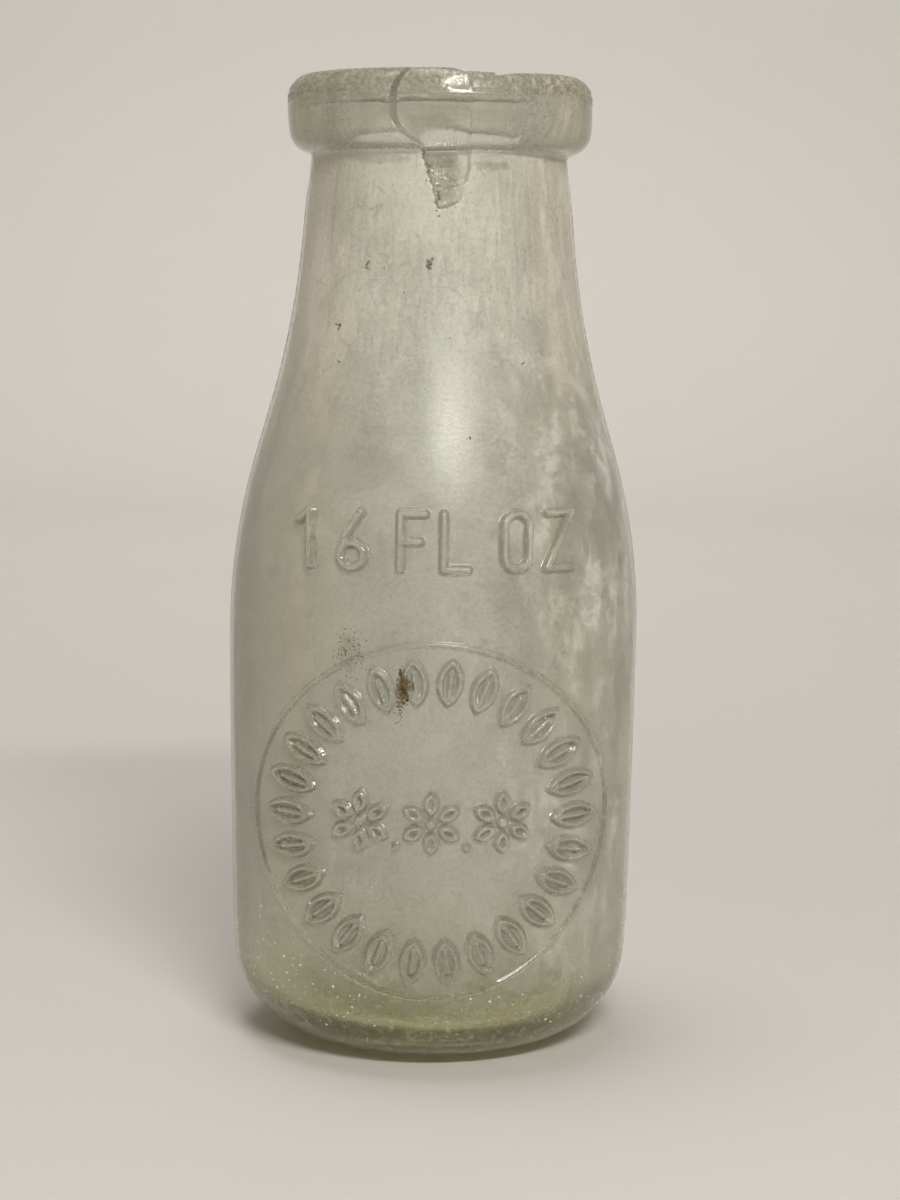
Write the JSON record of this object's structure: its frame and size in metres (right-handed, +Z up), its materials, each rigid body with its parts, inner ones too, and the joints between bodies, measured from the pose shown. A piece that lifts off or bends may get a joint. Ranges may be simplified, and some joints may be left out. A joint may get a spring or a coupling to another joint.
{
  "type": "glass milk bottle",
  "caption": "Clear pressed-glass milk bottle with a rolled lip, a disc-cap seat, a chipped rim, a pushed-up base and a raised round plate mark on the front.",
  "frame": {"origin": "centre of the resting ring under the bottle", "axes": "+Z up along the bottle's axis, -Y towards the front, where the round plate mark is, +X to the right seen from the front"},
  "size_m": [0.0776, 0.078, 0.181],
  "materials": {
    "wall_glass": "clear glass with a dry, hazy film",
    "lip_glass": "thick clear glass, worn and pitted along the rim",
    "base_glass": "thick clear glass with a yellow-green cast",
    "relief_glass": "raised clear glass with soft edges"
  },
  "bodies": {
    "root": {"lip_finish": "lip_glass", "neck": "wall_glass", "shoulder": "wall_glass", "body_wall": "wall_glass", "base": "base_glass", "plate_rim": "relief_glass", "leaf_border": "relief_glass", "flower_emblem": "relief_glass", "capacity_mark": "relief_glass", "mould_seams": "wall_glass"}
  },
  "joints": []
}
